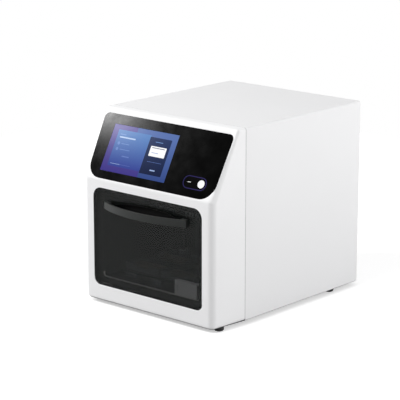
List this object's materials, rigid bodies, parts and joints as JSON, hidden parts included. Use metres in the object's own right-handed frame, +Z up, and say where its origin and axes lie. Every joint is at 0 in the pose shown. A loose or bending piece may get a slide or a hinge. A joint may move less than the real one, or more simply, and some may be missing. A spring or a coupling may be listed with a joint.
{
  "type": "nucleic acid extraction system",
  "caption": "Bench-top magnetic-bead extractor with slanted touch panel, smoked drop-down door with bowed handle, moving plate tray, lifting magnet and sleeve heads, and rear fan.",
  "frame": {"origin": "centre of the bounding box in plan, on the plane that the feet stand on", "axes": "+X to the right seen from the front, +Y from the front to the rear, +Z up"},
  "size_m": [0.36, 0.495, 0.399],
  "materials": {
    "bezel_plastic": "fine satin moulding",
    "cover_paint": "fine powder coat",
    "base_paint": "dark powder coat",
    "foot_rubber": "matt",
    "panel_black": "high gloss",
    "screen": "lit display behind glass",
    "ring_light": "back-lit ring",
    "button_white": "back-lit button",
    "door_smoke": "dark smoked acrylic",
    "handle_grey": "satin",
    "cup_black": "matt",
    "seal_rubber": "matt",
    "steel": "brushed",
    "ground_steel": "ground and polished",
    "carriage_steel": "ground",
    "aluminium": "bead blasted",
    "heater_metal": "hard anodised",
    "nest_plastic": "satin",
    "grey_plastic": "satin",
    "black_plastic": "satin",
    "motor_black": "satin",
    "brass": "turned",
    "lamp_glass": "clear tube",
    "socket_white": "satin",
    "board_green": "solder mask",
    "filter_white": "pleated fibre"
  },
  "bodies": {
    "housing": {"front_bezel": "bezel_plastic", "rear_cover": "cover_paint", "base_plate": "base_paint", "rear_panel": "cover_paint", "feet": "foot_rubber", "control_panel": "panel_black", "display": "screen", "display_frame": "steel", "button_ring": "ring_light", "button_switch": "board_green", "catch_magnets": "ground_steel", "door_seal": "seal_rubber", "chamber_liner": "aluminium", "chamber_mouth": "aluminium", "chamber_floor": "aluminium", "roof_plate": "aluminium", "interlock_box": "grey_plastic", "uv_lamp": "lamp_glass", "uv_sockets": "socket_white", "tray_rails": "ground_steel", "tray_bearing": "carriage_steel", "tray_motor": "motor_black", "guide_rods": "ground_steel", "rod_clamps": "carriage_steel", "screw_bearings": "carriage_steel", "lift_motors": "motor_black", "power_supply": "steel", "control_board": "board_green", "board_standoffs": "steel", "exhaust_filter": "filter_white", "fan_frame": "black_plastic", "fan_guard": "ground_steel", "power_inlet": "black_plastic", "switch_body": "black_plastic", "usb_ports": "steel", "network_port": "steel", "case_screws": "steel"},
    "door": {"door_panel": "door_smoke", "door_handle": "handle_grey", "handle_cup": "cup_black", "hinge_pins": "steel", "strike_plates": "steel"},
    "button": {"power_button": "button_white"},
    "rocker": {"mains_rocker": "black_plastic"},
    "tray": {"rail_carriages": "carriage_steel", "plate_tray": "aluminium", "plate_nests": "nest_plastic", "heating_blocks": "heater_metal", "tray_nut": "brass"},
    "tray_drive": {"tray_screw": "ground_steel"},
    "magnet_head": {"magnet_plate": "aluminium", "magnet_rods": "ground_steel", "magnet_bushes": "carriage_steel", "magnet_nut": "brass"},
    "magnet_drive": {"magnet_screw": "ground_steel"},
    "sleeve_head": {"sleeve_plate": "aluminium", "sleeve_bushes": "carriage_steel", "sleeve_nut": "brass"},
    "sleeve_drive": {"sleeve_screw": "ground_steel"},
    "fan": {"fan_rotor": "black_plastic"}
  },
  "joints": [
    {"name": "door_hinge", "type": "hinge", "parent": "housing", "child": "door", "pos_m": [0, -0.2156, 0.0454], "axis": [1, 0, 0], "range_deg": [0, 90]},
    {"name": "button_press", "type": "slide", "parent": "housing", "child": "button", "axis": [0, 0.8796, -0.4757], "range_m": [0, 0.001], "stiffness_N_per_m": 500, "springref_m": -0.001},
    {"name": "rocker_tilt", "type": "hinge", "parent": "housing", "child": "rocker", "pos_m": [0.078, 0.23875, 0.066], "axis": [1, 0, 0], "range_deg": [-14, 0]},
    {"name": "tray_slide", "type": "slide", "parent": "housing", "child": "tray", "axis": [0, 1, 0], "range_m": [0, 0.045]},
    {"name": "magnet_lift", "type": "slide", "parent": "housing", "child": "magnet_head", "axis": [0, 0, 1], "range_m": [-0.058, 0]},
    {"name": "sleeve_lift", "type": "slide", "parent": "housing", "child": "sleeve_head", "axis": [0, 0, 1], "range_m": [-0.05, 0]},
    {"name": "tray_screw_turn", "type": "hinge", "parent": "housing", "child": "tray_drive", "pos_m": [0, 0, 0.064], "axis": [0, 1, 0], "range_deg": [-2026, 0]},
    {"name": "magnet_screw_turn", "type": "hinge", "parent": "housing", "child": "magnet_drive", "pos_m": [-0.04, 0.0155, 0.2], "axis": [0, 0, 1], "range_deg": [0, 2611]},
    {"name": "sleeve_screw_turn", "type": "hinge", "parent": "housing", "child": "sleeve_drive", "pos_m": [0.04, 0.0155, 0.2], "axis": [0, 0, 1], "range_deg": [0, 2251]},
    {"name": "fan_spin", "type": "hinge", "parent": "housing", "child": "fan", "pos_m": [-0.095, 0.23, 0.304], "axis": [0, 1, 0], "continuous": true}
  ],
  "couplings": [
    {"joint": "tray_screw_turn", "follows": "tray_slide", "rad_per_m": -785.4},
    {"joint": "magnet_screw_turn", "follows": "magnet_lift", "rad_per_m": -785.4},
    {"joint": "sleeve_screw_turn", "follows": "sleeve_lift", "rad_per_m": -785.4}
  ]
}
